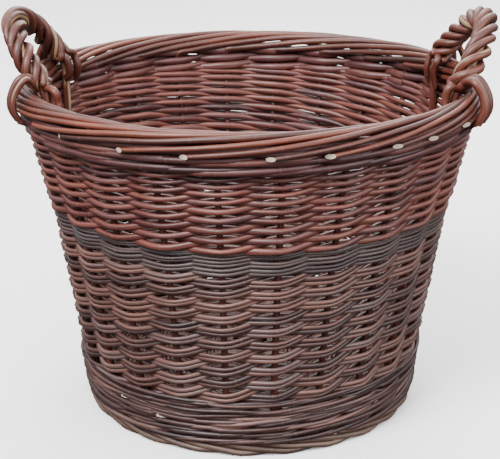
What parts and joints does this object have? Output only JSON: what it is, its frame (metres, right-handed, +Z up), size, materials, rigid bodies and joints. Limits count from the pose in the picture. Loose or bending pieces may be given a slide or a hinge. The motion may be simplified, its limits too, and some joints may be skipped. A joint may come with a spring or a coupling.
{
  "type": "log basket",
  "caption": "Round woven willow log basket with flared randed sides, a rolled border, a low foot and two upright twisted handles.",
  "frame": {"origin": "centre of the foot, on the floor", "axes": "+Z up out of the mouth; the two handles stand at +X and -X; +Y is the back of the basket"},
  "size_m": [0.5024, 0.5022, 0.4298],
  "materials": {
    "base_stick_willow": "dry bark-on willow, satin",
    "grey_willow": "grey-brown bark-on willow, satin",
    "foot_willow": "worn tan bark-on willow, satin",
    "stake_willow": "orange-brown bark-on willow, satin",
    "tip_willow": "thin grey willow tips, satin",
    "red_willow": "dark red bark-on willow, satin",
    "purple_willow": "purple-brown bark-on willow, satin",
    "handle_willow": "reddish willow with peeled cream patches, satin"
  },
  "bodies": {
    "root": {"pierced_stick_1": "base_stick_willow", "pierced_stick_2": "base_stick_willow", "pierced_stick_3": "base_stick_willow", "through_stick_1": "base_stick_willow", "through_stick_2": "base_stick_willow", "through_stick_3": "base_stick_willow", "base_weave": "grey_willow", "foot_border": "foot_willow", "stake_01": "stake_willow", "stake_02": "stake_willow", "stake_03": "stake_willow", "stake_04": "stake_willow", "stake_05": "stake_willow", "stake_06": "stake_willow", "stake_07": "stake_willow", "stake_08": "stake_willow", "stake_09": "stake_willow", "stake_10": "stake_willow", "stake_11": "stake_willow", "stake_12": "stake_willow", "stake_13": "stake_willow", "stake_14": "stake_willow", "stake_15": "stake_willow", "stake_16": "stake_willow", "stake_17": "stake_willow", "stake_18": "stake_willow", "stake_19": "stake_willow", "stake_20": "stake_willow", "stake_21": "stake_willow", "stake_22": "stake_willow", "stake_23": "stake_willow", "stake_24": "stake_willow", "upsett_wale": "grey_willow", "lower_siding": "grey_willow", "tips_band": "tip_willow", "upper_siding": "red_willow", "top_wale": "purple_willow", "right_handle_bow": "handle_willow", "left_handle_bow": "handle_willow", "right_handle_rod_1": "handle_willow", "right_handle_rod_2": "handle_willow", "right_handle_rod_3": "handle_willow", "right_handle_rod_4": "handle_willow", "left_handle_rod_1": "handle_willow", "left_handle_rod_2": "handle_willow", "left_handle_rod_3": "handle_willow", "left_handle_rod_4": "handle_willow"}
  },
  "joints": []
}
